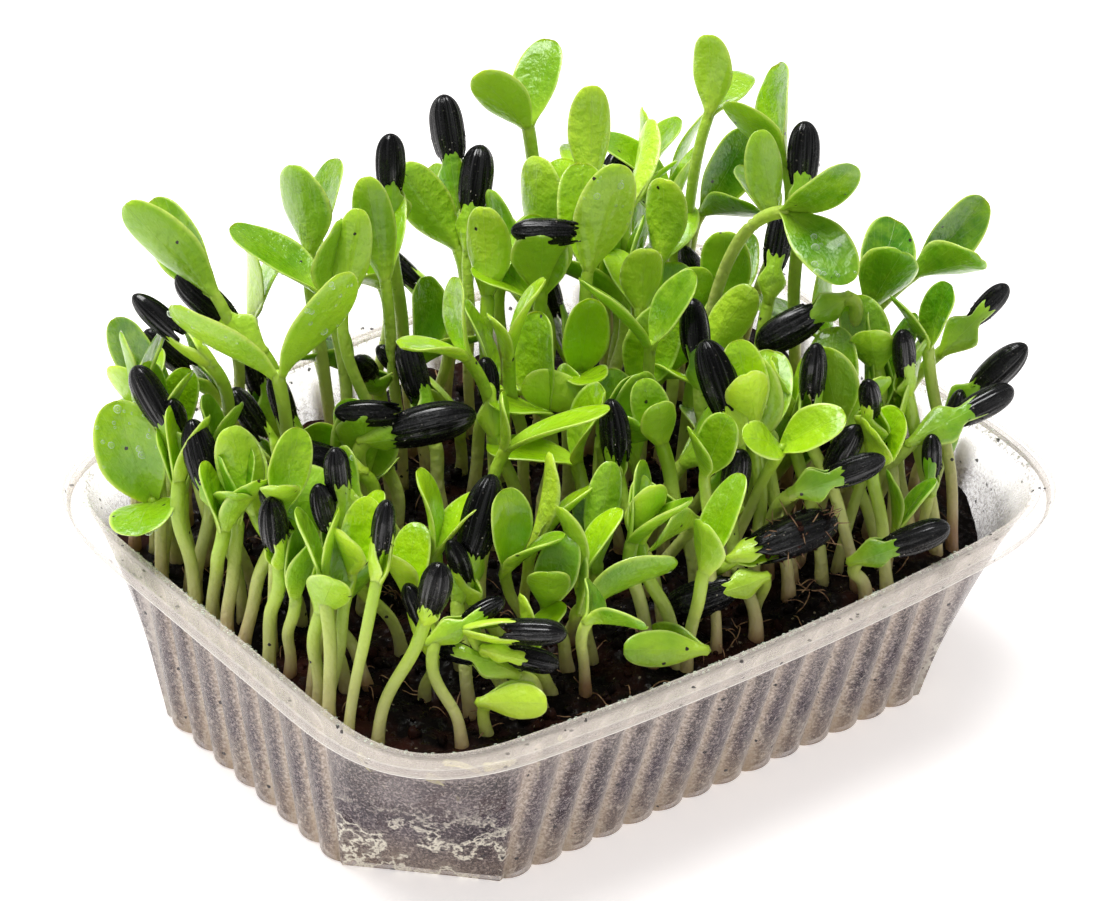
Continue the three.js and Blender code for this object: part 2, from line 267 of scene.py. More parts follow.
def speck_group():
    """Small scattered specks, as a mask: cells whose own random number is over a limit hold a round
    speck, and noise frays its edge."""
    group = bpy.data.node_groups.new("specks", "ShaderNodeTree")
    group.interface.new_socket(name="Vector", in_out="INPUT", socket_type="NodeSocketVector")
    group.interface.new_socket(name="Scale", in_out="INPUT", socket_type="NodeSocketFloat")
    group.interface.new_socket(name="Share", in_out="INPUT", socket_type="NodeSocketFloat")
    group.interface.new_socket(name="Mask", in_out="OUTPUT", socket_type="NodeSocketFloat")
    given = node(group, "NodeGroupInput").outputs
    cells = node(group, "ShaderNodeTexVoronoi", {"Vector": given["Vector"], "Scale": given["Scale"]})
    lot = node(group, "ShaderNodeSeparateColor", {"Color": cells.outputs["Color"]}).outputs[0]
    chosen = sums(group, "LESS_THAN", lot, given["Share"])
    frayed = noise(group, given["Vector"], 2500.0)
    edge = plus(group, cells.outputs["Distance"], (frayed, 0.3))
    round_speck = sums(group, "LESS_THAN", edge, 0.42)
    done = node(group, "NodeGroupOutput")
    group.links.new(times(group, chosen, round_speck), done.inputs["Mask"])
    return group


SPECKS = speck_group()


def specks(tree, vector, scale, share):
    """Places the speck mask in a material."""
    made = node(tree, "ShaderNodeGroup", node_tree=SPECKS)
    tree.links.new(vector, made.inputs["Vector"])
    made.inputs["Scale"].default_value = scale
    made.inputs["Share"].default_value = share
    return made.outputs["Mask"]


def tray_plastic():
    """Clear polypropylene gone milky: thin on the ribs' crests, where the peat behind shows dark, and paler
    in the furrows between them. Painted highlights lie along the folds of its turned-down rim and on the
    rim's step, with thin dark lines of painted shade beside them. Drops of condensation and fog sit behind
    it; the drops' light specks are painted glints, and dark specks in the grain are painted shade.
    Scratches are worst on the corners, and mud dries near the base. It looks thicker where it is seen
    edge on."""
    material, tree, shader, place_in = start_material(
        "tray_plastic", Roughness=0.3, IOR=1.49, Specular_IOR_Level=0.5)
    crease, lip, bead, height, corner, brink = (
        layer(tree, name) for name in ("crease", "lip", "bead", "height", "corner", "brink"))
    furrow = ramp(tree, crease, (0.1, 0.0), (0.66, 1.0))
    above = ramp(tree, height, (0.76, 0.0), (0.86, 1.0))
    cloud = noise(tree, place_in, 70.0, 4.0, 0.6)
    fog = ramp(tree, height, (0.42, 0.0), (0.74, 0.62))
    fog = times(tree, fog, ramp(tree, cloud, (0.35, 0.35), (0.6, 1.0)))
    low = ramp(tree, height, (0.0, 1.0), (0.1, 0.8), (0.32, 0.0))
    mud = times(tree, low, ramp(tree, cloud, (0.3, 0.35), (0.6, 1.0)))

    grain = noise(tree, place_in, 1500.0, 3.0, 0.75)
    damp = sums(tree, "MAXIMUM", bead, plus(tree, 1.0, (above, -0.8)))
    # Condensation drops on the wall and the rim's bead; their light specks are painted glints.
    droplets_and_glints = times(tree, ramp(tree, grain, (0.5, 0.0), (0.6, 1.0)), damp)
    # Dark specks in the grain, fewer on the rim: painted shade.
    shade_specks = times(tree, ramp(tree, grain, (0.36, 1.0), (0.46, 0.0)), plus(tree, 0.6, (above, -0.6)))
    streak = noise(tree, place_in, 330.0, 4.0, 0.75, (1.0, 1.0, 0.14))
    milk = ramp(tree, streak, (0.35, 0.0), (0.7, 1.0))

    waver = sums(tree, "ABSOLUTE", sums(tree, "SUBTRACT", noise(tree, place_in, 110.0, 5.0, 0.6), 0.5))
    scratch = times(tree, ramp(tree, waver, (0.004, 1.0), (0.03, 0.0)), plus(tree, 0.2, (corner, 0.8)))
    scratch = times(tree, scratch, ramp(tree, height, (0.3, 1.0), (0.6, 0.0)))
    dirt = specks(tree, place_in, 620.0, 0.05)
    facing = node(tree, "ShaderNodeLayerWeight").outputs["Facing"]
    edge_on = ramp(tree, facing, (0.45, 0.0), (0.92, 1.0))

    colour = layered(
        tree, mixed(tree, furrow, (0.125, 0.09, 0.13), (0.56, 0.45, 0.36)),
        (fog, (0.58, 0.5, 0.45)),
        (times(tree, corner, 0.4), (0.11, 0.08, 0.115)),
        (above, (0.72, 0.65, 0.59)),
        # light specks of condensation: painted glints
        (times(tree, droplets_and_glints, 0.64), (0.64, 0.55, 0.5)),
        # dark specks in the grain: painted shade
        (shade_specks, (0.08, 0.06, 0.08)),
        (times(tree, mud, 0.75), (0.42, 0.3, 0.18)),
        (scratch, (0.8, 0.75, 0.62)),
        (times(tree, edge_on, 0.6), (0.5, 0.46, 0.42)),
        # bright lines along the rim's folds and step: painted highlights
        (lip, (0.95, 0.92, 0.86)),
        # thin dark lines along the rim's folds: painted shade
        (times(tree, brink, 0.85), (0.24, 0.215, 0.19)),
        (dirt, (0.03, 0.025, 0.03)))
    veil = plus(
        tree, 0.28, (furrow, 0.42), (above, -0.1), (lip, 0.4), (brink, 0.4), (droplets_and_glints, 0.26),
        (times(tree, droplets_and_glints, bead), 0.5), (milk, 0.1), (mud, 0.4), (scratch, 0.5), (edge_on, 0.4))
    veil = sums(tree, "MAXIMUM", veil, times(tree, dirt, 0.9), clamp=True)
    rough = ramp(tree, streak, (0.3, 0.1), (0.7, 0.35))
    feed(tree, shader, plus(tree, streak, (droplets_and_glints, 0.6)), 0.4, 0.0003,
         Base_Color=colour, Alpha=veil, Roughness=rough)
    return material


def band(values, middle, spread):
    """A soft mask: one at the middle value, falling away on both sides as a bell curve."""
    return np.exp(-((values - middle) / spread) ** 2)


# The wall's section, from the middle of the base outside, up over the lip and back down the inside: the
# height, how far it lies inside the wall's plan, and how much of the ribs it takes.
profile = rounded([
    (0.0, 60.0, 0), (0.0, 2.0, 1), (0.0, 0.0, 1), (1.2, 0.0, 1), (8, 0.0, 1), (15, 0, 1), (22, 0, 1),
    (29, 0, 1), (TALL - 8, 0, 1), (TALL - 5.2, 0, 0.7), (TALL - 3.8, 0, 0), (TALL - 2.2, -0.1, 0),
    (TALL - 1.7, -0.6, 0), (TALL - 1.6, -3.9, 0), (TALL - 1.7, -4.4, 0), (TALL - 3.6, -4.4, 0),
    (TALL - 4.0, -4.5, 0), (TALL - 4.0, -5.0, 0), (TALL - 3.3, -5.0, 0), (TALL - 1.2, -5.0, 0),
    (TALL - 0.8, -4.8, 0), (TALL - 0.8, -4.2, 0), (TALL - 1.0, -3.9, 0), (TALL - 1.0, -2.2, 0),
    (TALL - 0.9, -1.6, 0), (TALL - 0.1, -1.3, 0), (TALL, -1.0, 0),
    (TALL, -0.1, 0), (TALL - 0.4, WALL - 0.4, 0), (TALL - 2.2, WALL - 0.1, 0), (TALL - 3.8, WALL, 0),
    (TALL - 5.2, WALL, 0.7), (TALL - 8, WALL, 1), (29, WALL, 1), (22, WALL, 1), (15, WALL, 1),
    (8, WALL, 1), (2.0, WALL, 1), (WALL, WALL, 1), (WALL, 3.0, 1), (WALL, 60.0, 0)], 2)
wall_stations = run_round(12, 28)
height, inset, ribs = (profile[:, k:k + 1] for k in range(3))
everywhere = 0 * wall_stations[3]
down = height - TALL
# Painted highlights: bright lines along the two folds of the turned-down rim, and on the step of its ledge.
outer_edge = (band(down, -3.8, 0.3) + 0.4 * band(down, -0.9, 0.2)) * (inset < -4.3)
step_up = 0.5 * band(inset, -1.45, 0.22) * (down > -1.3)
lip = np.clip(outer_edge + step_up, 0, 1)
bead = band(inset, 0.1, 0.8) * (down > -1.4)
# Painted shade: thin dark lines along the rim's folds and round its top, beside the painted highlights.
brink = (band(down, -4.05, 0.12) + 0.6 * band(down, -1.5, 0.2)) * (inset < -4.6)
brink = np.clip(brink + 0.5 * band(inset, -0.55, 0.2) * (down > -0.3), 0, 1)
tray_skin = wrap(
    on_wall(wall_stations, height, inset, ribs),
    crease=(1 - wall_stations[3]) * ribs,
    lip=lip + everywhere,
    bead=bead + everywhere,
    brink=brink + everywhere,
    height=height / TALL + everywhere,
    corner=(wall_stations[2] > 0) + 0 * height,
)
place("tray_shell", tray_skin, tray_plastic(), "tray_plastic", "tray")

# ---- Soil ------------------------------------------------------------------------------------
# Damp black peat, pressed against the ribbed wall, crumbly on top, with loose crumbs and reddish
# plant fibres. It has dried and sunk away from the wall at one corner. Roots run behind the wall.

SOIL_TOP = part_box("soil")[1][2] / MM
SINK_PLACE = (LENGTH / 2 - 8, -WIDTH / 2 + 6)
SINK_DEPTH = 9
LATTICE = 64
chance = np.random.default_rng(11)


def ripple(x, y, cell, seed):
    """Smooth noise from a square lattice of random numbers from -1 to 1: the four nearest, mixed by how
    far along each cell the point is, each share eased by three squares minus two cubes."""
    table = np.random.default_rng(seed).uniform(-1, 1, (LATTICE, LATTICE))
    u, v = np.asarray(x) / cell, np.asarray(y) / cell
    i, j = np.floor(u).astype(int), np.floor(v).astype(int)
    s, t = u - i, v - j
    s, t = s * s * (3 - 2 * s), t * t * (3 - 2 * t)
    pick = lambda di, dj: table[(i + di) % LATTICE, (j + dj) % LATTICE]
    return (pick(0, 0) * (1 - s) + pick(1, 0) * s) * (1 - t) + (pick(0, 1) * (1 - s) + pick(1, 1) * s) * t


def ground(x, y):
    """Height of the soil's top: its level, less a smooth bowl in the sunken corner, plus three sizes of
    ripple for lumps and crumbs."""
    far = np.hypot(x - SINK_PLACE[0], y - SINK_PLACE[1])
    sink = np.clip(1 - far / 34, 0, 1)
    level = SOIL_TOP - SINK_DEPTH * sink * sink * (3 - 2 * sink)
    return level + 1.0 * ripple(x, y, 13, 1) + 0.9 * ripple(x, y, 4.1, 2) + 0.6 * ripple(x, y, 1.7, 3) - 0.8


def soil_earth():
    """Nearly black peat with red-brown patches, damp glints and a crumbly surface."""
    material, tree, shader, place_in = start_material("soil_earth", Specular_IOR_Level=0.14)
    lumps = noise(tree, place_in, 260.0, 5.0, 0.65)
    patches = noise(tree, place_in, 60.0, 3.0, 0.6)
    grit = specks(tree, place_in, 900.0, 0.05)
    peat = ramp(tree, lumps, (0.3, (0.001, 0.0006, 0.0005)), (0.55, (0.005, 0.0025, 0.002)),
                (0.75, (0.022, 0.008, 0.005)))
    colour = layered(tree, peat, (ramp(tree, patches, (0.48, 0.0), (0.64, 0.7)), (0.045, 0.011, 0.006)),
                     (grit, (0.22, 0.18, 0.13)))
    wet = ramp(tree, noise(tree, place_in, 700.0, 2.0), (0.5, 0.95), (0.64, 0.12))
    feed(tree, shader, sums(tree, "ADD", lumps, grit), 1.0, 0.0008, Base_Color=colour, Roughness=wet)
    return material


EARTH = soil_earth()
soil_stations = run_round(8, 20)
side_heights = np.linspace(1.0, SOIL_TOP - 1.2, 14)[:, None]
sides = on_wall(soil_stations, side_heights, WALL + 0.12, 1.0)
voids = ripple(np.arctan2(sides[..., 1], sides[..., 0]) * 60, sides[..., 2], 3.5, 5)
sides += np.where(voids > 0.35, -0.012, 0)[..., None] * sides * np.array([1, 1, 0])
edge = on_wall(soil_stations, SOIL_TOP + 0 * side_heights[:1], WALL + 0.4, 1.0)[0]
shares = np.concatenate([[1.0], np.linspace(0.985, 0.02, 70)])[:, None]
far = np.hypot(edge[:, 0] - SINK_PLACE[0], edge[:, 1] - SINK_PLACE[1])
drawn_in = 1 - 0.055 * np.clip(1 - far / 38, 0, 1) ** 0.7
top_x, top_y = edge[:, 0] * drawn_in * shares, edge[:, 1] * drawn_in * shares
top = np.stack([top_x, top_y, ground(top_x, top_y)], -1)
sink_row = np.clip(top[:1, :, 2], 0, None)
fade = (side_heights / side_heights[-1])[..., None]
drop = np.minimum(sides[..., 2], sides[..., 2] * (sink_row / SOIL_TOP))
sides = np.concatenate([sides[..., :2] * (1 + (drawn_in[None, :, None] - 1) * fade), drop[..., None]], -1)
floor = sides[:1] * np.array([0.2, 0.2, 1])
place("soil_bed", wrap(np.concatenate([floor, sides, top])), EARTH, "soil", "soil")


def blobs(centres, sizes, seed, rows=5, columns=7):
    """Lumps at given centres: balls of few faces, each point pushed in or out at random by up to a third,
    each ball stretched by its own three random factors."""
    draw = np.random.default_rng(seed)
    v, u = np.meshgrid(np.linspace(0, np.pi, rows), np.arange(columns) * 2 * np.pi / columns, indexing="ij")
    ball = np.stack([np.sin(v) * np.cos(u), np.sin(v) * np.sin(u), -np.cos(v)], -1)
    made = []
    for centre, size in zip(centres, sizes):
        rough = 1 + draw.uniform(-0.35, 0.35, (rows, columns, 1))
        made.append(wrap(centre + ball * rough * size * draw.uniform(0.65, 1.2, 3)))
    return gather(made)


def inside(count, draw, edge_share=0.93):
    """Random places on the soil: three times as many as asked are drawn, and the first ones that lie in
    a rounded rectangle, where the fourth powers of x and y by their halves add up to less than the
    share's, are kept."""
    x, y = draw.uniform(-78, 78, count * 3), draw.uniform(-58, 58, count * 3)
    keep = np.abs(x / 78) ** 4 + np.abs(y / 58) ** 4 < edge_share ** 4
    return np.stack([x[keep][:count], y[keep][:count]], -1)


spots = inside(1800, chance)
crumb_size = 0.35 + 1.3 * chance.random(len(spots)) ** 3
lift = ground(spots[:, 0], spots[:, 1]) + crumb_size * 0.4
crumbs = blobs(np.column_stack([spots, lift]), crumb_size, 4)
place("soil_crumbs", crumbs, EARTH, "soil")


def strand(line, radius, sides=6, **layers):
    """A thread along a line of points. Its section is a ring square to the line; the ring's first
    direction is the line's own direction crossed with a fixed slant. Both ends draw in to a point."""
    run = np.gradient(line, axis=0)
    run /= np.linalg.norm(run, axis=1, keepdims=True)
    first = np.cross(run, np.array([0.31, -0.52, 0.79]))
    first /= np.linalg.norm(first, axis=1, keepdims=True)
    second = np.cross(run, first)
    turn = np.arange(sides) * 2 * np.pi / sides
    radius = np.broadcast_to(radius, len(line)).copy()
    radius[[0, -1]] = 0
    ring = first[:, None] * np.cos(turn)[:, None] + second[:, None] * np.sin(turn)[:, None]
    return wrap(line[:, None] + ring * radius[:, None, None], **layers)


def thread_material(name, colour, pale):
    """Dry fibre or root, uneven in colour along its length."""
    material, tree, shader, place_in = start_material(name, Roughness=0.7)
    uneven = noise(tree, place_in, 500.0, 3.0)
    feed(tree, shader, uneven, 0.5, 0.0002, Base_Color=ramp(tree, uneven, (0.35, colour), (0.65, pale)))
    return material


fibres = []
for x, y in inside(300, chance, 0.98):
    turn, length, bend = chance.uniform(0, 6.28), chance.uniform(4, 11), chance.uniform(-0.9, 0.9)
    t = np.linspace(-0.5, 0.5, 9)
    way = turn + bend * t * 2
    line_x, line_y = x + np.cumsum(np.cos(way)) * length / 9, y + np.cumsum(np.sin(way)) * length / 9
    arch = 0.5 + chance.uniform(0.3, 2.2) * (0.25 - t * t) * 4
    fibres.append(strand(np.column_stack([line_x, line_y, ground(line_x, line_y) + arch]), 0.13, 4))
FIBRE = thread_material("peat_fibre", (0.1, 0.035, 0.015), (0.45, 0.27, 0.14))
place("soil_fibres", gather(fibres), FIBRE, "soil")

# Each root: where it starts along the wall from the near corner, how far it wanders, its heights at both
# ends and its thickness.
roots = []
near_corner = int(np.argmin(np.hypot(edge[:, 0] + 74, edge[:, 1] + 58)))
for start, length, low, high, thick in (
        (-1.0, 3.5, 36, 25, 1.0), (1.0, 4.0, 39, 35, 0.8), (5.0, 2.5, 38, 33, 1.1), (9.0, 2.0, 38, 24, 0.7),
        (14.0, 5.0, 37, 30, 0.8), (-9.0, 3.0, 37, 26, 0.8), (-14.0, 2.0, 36, 29, 0.9)):
    t = np.linspace(0, 1, 20)
    wave = low + (high - low) * t + 1.2 * np.sin(4 * t + start)
    station = near_corner + start + length * np.sin(1.6 * t)
    wall = on_wall(soil_stations, wave[:, None], WALL + 0.5, 1.0)
    index = np.arange(len(edge))
    line = [[np.interp(at, index, row[:, k]) for k in range(3)] for at, row in zip(station, wall)]
    roots.append(strand(np.array(line), 0.9 * thick * (1 - 0.6 * t), 8))
ROOT = thread_material("pale_root", (0.5, 0.45, 0.16), (0.75, 0.7, 0.36))
place("wall_roots", gather(roots), ROOT, "sprout")

# ---- Sprouts ---------------------------------------------------------------------------------
# Sunflower seedlings a week old, each grown in one piece: a round juicy stem, white at the foot and
# green above, and two thick oval seed leaves, glossy inside and paler and duller outside.

# The frame's own sprouts, in its order. A row: root x, y; crown x, y, z; first leaf's heading, climb,
# length; second leaf's; width of both; length of the hull still worn; curl. Headings and climbs are in
# degrees, the rest in millimetres.
PLANTS = [
    (32, 50, 30, 53, 94, 35, 40, 19, 155, 50, 17, 10, 0, 0.1),
    (54, 30, 57, 26, 102, 80, 80, 16, 20, 5, 14, 9, 0, 0.3),
    (62, 20, 64, 11, 95, 55, 35, 21, 150, 50, 18, 12, 0, 0.1),
    (36, 2, 48, -10, 98, -55, 48, 19, -90, -20, 21, 12, 0, 0.3),
    (50, -12, 65, -18, 74, 35, 30, 20, -80, 65, 17, 12, 0, 0.2),
    (62, -8, 76, -20, 79, -5, 40, 20, -75, 30, 17, 11, 0, 0.1),
    (68, -20, 78, -28, 64, 10, 25, 17, -40, 50, 17, 9, 10, 0.0),
    (68, -32, 73, -36, 54, -10, 35, 20, -40, 50, 19, 9, 14, 0.0),
    (50, -38, 58, -43, 57, -20, 25, 22, 0, 5, 20, 9, 13, 0.0),
    (58, -45, 58, -48, 49, 175, 80, 10, 45, 60, 10, 8, 9, 0.0),
    (50, -30, 53, -34, 57, 20, 50, 25, 60, 60, 25, 10, 0, 0.0),
    (38, -34, 42, -37, 65, 150, 75, 18, 60, 40, 19, 12, 0, 0.2),
    (-50, 46, -57, 42, 90, 130, 45, 25, 90, 25, 24, 11, 0, 0.0),
    (-60, 38, -65, 33, 82, 135, 30, 17, 115, 45, 18, 9, 13, 0.0),
    (-52, 22, -58, 18, 84, 140, 35, 25, -30, 60, 26, 13, 0, -0.5),
    (-66, 30, -74, 27, 66, 125, 50, 17, 90, 50, 19, 10, 14, 0.0),
    (-66, 14, -75, 16, 62, 110, 70, 15, 75, 50, 15, 9, 14, 0.0),
    (-62, 4, -70, 9, 61, 105, 70, 18, 75, 35, 18, 10, 0, 0.0),
    (-70, 36, -78, 33, 53, 105, 65, 22, -135, 5, 15, 14, 0, 0.2),
    (-42, -12, -55, -3, 65, 165, 5, 17, 80, 20, 10, 14, 0, 0.1),
    (-58, -4, -62, 4, 58, -140, -40, 17, -160, -70, 17, 8, 15, 0.0),
    (-68, -20, -71, -18, 51, 90, 75, 17, 50, 40, 17, 8, 0, 0.0),
    (-64, -22, -68, -17, 53, -5, 65, 20, -50, 50, 19, 9, 10, 0.0),
    (-60, -48, -59, -38, 53, -35, 30, 14, -5, 20, 14, 7, 9, 0.0),
    (-52, -40, -49, -31, 54, 10, 60, 24, 40, 50, 24, 10, 16, 0.0),
    (-46, -46, -54, -44, 56, -45, 20, 17, -60, 0, 15, 9, 13, 0.0),
    (-22, -32, -27, -43, 51, -30, 25, 20, 70, 40, 16, 13, 0, 0.1),
    (-30, -48, -33, -54, 57, -65, 5, 11, 60, 15, 8, 9, 0, 0.0),
    (4, -40, 8, -48, 51, -20, 25, 20, -10, -5, 20, 9, 18, 0.0),
    (14, -46, 9, -52, 47, 165, -10, 18, 135, -25, 18, 9, 14, 0.0),
    (14, -2, 17, -6, 76, 145, 45, 21, -30, 60, 18, 11, 0, 0.1),
    (14, 14, 18, 16, 82, 5, 70, 23, 60, 45, 22, 13, 0, 0.0),
    (-14, 4, -21, 6, 81, 70, 75, 16, 170, 20, 15, 12, 0, 0.2),
    (-32, -16, -23, -12, 70, -40, 25, 22, 90, 75, 11, 9, 0, 0.0),
    (-24, -20, -27, -27, 57, 35, 70, 18, -10, 35, 16, 9, 0, 0.2),
    (-34, 28, -36, 33, 87, 120, 25, 23, 0, 75, 16, 12, 0, 0.0),
    (-28, 40, -31, 45, 89, 90, 70, 18, 35, 40, 20, 13, 0, 0.0),
    (-8, 40, -10, 46, 85, 60, 50, 20, -100, 85, 19, 10, 12, 0.0),
    (-38, 0, -45, 4, 71, -44, 14, 20, -16, 10, 20, 9, 17, 0.0),
    (20, 38, 20, 35, 76, 60, 75, 20, 30, 45, 20, 13, 0, 0.0),
]
OWN = len(PLANTS)
# Heads among them, as rows that start at the crown and have no curl. Their roots are drawn.
MORE = [
    (33, 35, 88, 55, 70, 20, 65, -5, 18, 9, 0), (42, 33, 80, 40, 35, 20, 20, 5, 17, 10, 0),
    (56, 4, 87, 95, 75, 19, 70, 5, 18, 9, 0), (62, 2, 89, 50, 20, 16, -120, 85, 16, 8, 13),
    (33, -56, 45, -5, 10, 18, -65, 30, 18, 8, 13), (44, -45, 63, -145, 75, 18, -150, 70, 18, 9, 10),
    (23, -48, 61, -60, 30, 17, 0, 5, 17, 9, 12), (23, -34, 65, 85, 80, 19, 40, 40, 19, 11, 0),
    (21, -44, 70, -175, 30, 13, -45, 35, 15, 9, 0), (52, -23, 82, 180, -15, 18, 130, -35, 18, 9, 14),
    (49, -5, 76, -55, 85, 16, 45, 15, 16, 8, 12), (36, -1, 64, -35, 60, 18, 30, 20, 18, 9, 0),
    (47, 6, 66, 115, 85, 19, 40, 30, 19, 11, 0), (16, -36, 69, 140, 70, 20, 70, 30, 20, 9, 15),
    (23, -15, 69, -170, 80, 16, 55, 15, 16, 8, 13), (27, 10, 73, 75, 15, 16, -5, 85, 13, 9, 0),
    (40, 20, 75, 45, 80, 17, 30, 20, 15, 10, 0), (9, 49, 74, 130, 55, 21, 70, 20, 21, 11, 0),
    (13, 53, 78, 60, 35, 24, 105, 75, 24, 8, 14), (10, 46, 75, 55, 75, 20, 40, 30, 19, 8, 14),
    (3, 30, 74, 75, 80, 19, 40, 30, 18, 9, 0), (-18, 37, 82, 100, 75, 22, 50, 30, 21, 9, 0),
    (-34, 29, 86, 20, 75, 20, 50, 25, 20, 8, 0), (-52, 34, 80, 135, 40, 20, 100, 20, 20, 9, 14),
    (-45, 6, 61, -128, 80, 16, 52, 82, 16, 13, 12.5), (-50, 3, 66, 125, 5, 15, 150, 15, 15, 9, 14),
    (9, 20, 78, -128, 78, 15, 52, 80, 15, 12, 13),
    (-9, 7, 76, -20, 65, 18, 145, 65, 10, 9, 0), (-17, 1, 64, 70, 75, 14, 65, 35, 14, 8, 9),
    (5, -2, 63, 150, 25, 15, 85, 5, 12, 9, 0), (-19, -36, 54, 35, 65, 20, 65, 30, 15, 7, 0),
    (3, -38, 56, 135, 35, 14, -160, 5, 13, 11, 0), (-6, -54, 57, 155, 85, 11, 20, 50, 20, 9, 0),
    (-11, -58, 42, 160, 10, 15, 105, -10, 12, 8, 0), (-55, -50, 43, -60, 15, 12, -10, -5, 10, 7, 0),
    (-52, -47, 52, -75, 5, 12, 0, -25, 12, 7, 10), (-50, -48, 47, 130, 20, 15, 115, 0, 13, 7, 9),
    (-62, -12, 58, 120, 65, 15, 20, 40, 15, 9, 0), (-56, -24, 54, 160, 60, 14, 40, 55, 14, 9, 0),
    (-48, -22, 60, 100, 70, 17, -20, 45, 16, 10, 0), (-46, -32, 53, 170, 50, 14, 60, 70, 14, 8, 10),
    (-38, -32, 58, 70, 75, 16, -60, 40, 15, 10, 0), (-66, -2, 56, 90, 70, 15, 140, 40, 15, 8, 11),
    (-34, -40, 52, -130, 60, 14, 20, 60, 14, 9, 0), (-58, -34, 48, 60, 70, 13, 130, 50, 13, 8, 10),
    (-42, -44, 46, 80, 75, 12, 0, 40, 12, 8, 0), (-26, -40, 56, 120, 70, 15, 10, 40, 15, 9, 0),
    (44, -36, 60, -40, 60, 16, 80, 50, 16, 10, 0), (56, -38, 56, 10, 70, 15, 100, 60, 15, 9, 0),
    (34, -42, 54, -70, 50, 15, 30, 60, 15, 9, 12), (66, -30, 58, 20, 60, 15, 110, 60, 14, 9, 0),
    (48, -50, 44, 100, 70, 12, -20, 50, 12, 8, 0), (68, -40, 48, -10, 55, 13, 60, 60, 13, 8, 10),
]
STAND = 180  # plants in all
CROSSWISE = {(-45, 6), (9, 20)}  # crowns whose hull lies across the leaf tips
# Leaves rolled about their own length, by the plant's root: degrees for the first and second leaf.
ROLL = {(-52, 22): (-50, 50), (-42, -12): (-50, 0), (32, 50): (-30, -50), (36, 2): (0, -50)}


def unit(vector):
    """A vector of length one the same way."""
    return vector / np.linalg.norm(vector)


def heading(turn, climb):
    """The direction at a turn round +Z from +X, then a climb from level, both in degrees."""
    a, c = math.radians(turn), math.radians(climb)
    return np.array([math.cos(a) * math.cos(c), math.sin(a) * math.cos(c), math.sin(c)])


def bow(a, b, c, d, count):
    """A curve through four guide points: each point is their mix by the cubic Bezier weights."""
    t = np.linspace(0, 1, count)[:, None]
    return a * (1 - t) ** 3 + 3 * b * t * (1 - t) ** 2 + 3 * c * t * t * (1 - t) + d * t ** 3


def head_axis(row):
    """Direction of a head: halfway between its two leaves."""
    return unit(heading(*row[5:7]) + heading(*row[8:10]))


def hull_size(down, blunt=2.3):
    """The hull's size against its fullest, by the share of its length from the far end: a power curve over
    the first 0.55, and over the rest a square that narrows it by a quarter at the mouth."""
    return ((1 - np.clip(1 - down / 0.55, 0, 1) ** blunt) ** 0.55
            * (1 - 0.25 * np.clip((down - 0.55) / 0.45, 0, 1) ** 2))


def hull_end(row):
    """Distance from the crown to the far end of the hull."""
    return max(row[7], row[10]) + 0.08 * row[12]


def stem(row, axis, shade, draw, rows=30, columns=12):
    """The stem: a ring carried along its curve, upright at the root and along the head at the crown. It
    is about 1.2 mm in radius, with a small swelling at the foot and a slow wobble, and it closes in a
    dome between the leaves."""
    root = np.array([row[0], row[1], float(ground(row[0], row[1])) - 2.5])
    crown = np.array(row[2:5], float)
    rise = np.linalg.norm(crown - root)
    line = bow(root, root + [0, 0, rise * 0.45], crown - axis * rise * 0.25, crown + axis * 0.6, rows)
    t = 1 - (1 - np.linspace(0, 1, rows)) ** 1.25
    line = np.stack([np.interp(t, np.linspace(0, 1, rows), line[:, k]) for k in range(3)], -1)
    wave = np.sin(t[:, None] * draw.uniform(5, 11, 3) + draw.uniform(0, 6, 3))
    line = line + wave * 0.45 * np.sin(np.pi * t)[:, None]
    left = (1 - t) * rise
    radius = draw.uniform(0.88, 1.12) * (1.15 + 0.22 * t + 0.45 * np.exp(-(t * rise / 4.0) ** 2))
    radius = radius * np.sqrt(1 - np.clip(1 - left / 2.6, 0, 1) ** 2)
    return strand(line, radius, columns, along=t[:, None], inward=0.0, edge=0.0, across=0.0, shade=shade)


